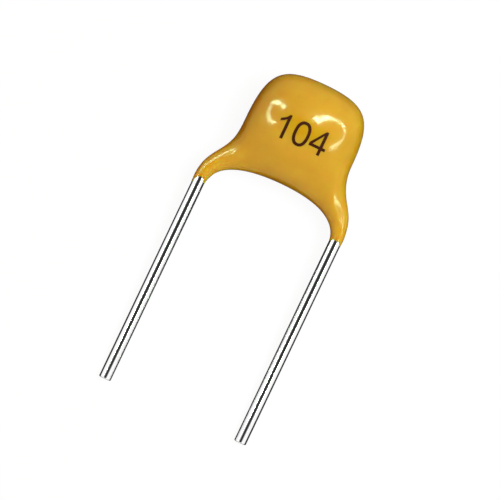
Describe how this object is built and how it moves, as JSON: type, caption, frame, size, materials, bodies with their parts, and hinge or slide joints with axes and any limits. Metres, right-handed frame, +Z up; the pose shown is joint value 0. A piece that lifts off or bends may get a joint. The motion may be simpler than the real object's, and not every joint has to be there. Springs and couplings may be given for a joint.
{
  "type": "multilayer ceramic capacitor",
  "caption": "Dipped yellow capacitor body with two straight parallel wire leads, which pass through the holes of a circuit board and are soldered there.",
  "frame": {"origin": "middle of the part's outline on the surface that it lies on, in its rest attitude on its back", "axes": "+X across the leads from left to right, +Y along the leads from their tips towards the head, +Z up, out of the marked face; the leads lie 5.6 degrees to +Y"},
  "size_m": [0.0056, 0.0122, 0.0025],
  "materials": {
    "coating": "glossy dipped epoxy, mustard yellow",
    "ceramic": "fired, matt, brown",
    "electrode": "sintered nickel, matt",
    "termination": "tin plate over nickel, satin",
    "solder": "soldered, satin",
    "lead": "tinned wire, bright",
    "marking": "printed ink, dark brown"
  },
  "bodies": {
    "root": {"epoxy_coating": "coating", "ceramic_dielectric": "ceramic", "electrodes_left": "electrode", "electrodes_right": "electrode", "termination_left": "termination", "termination_right": "termination", "solder_left": "solder", "solder_right": "solder", "lead_left": "lead", "lead_right": "lead"}
  },
  "joints": []
}
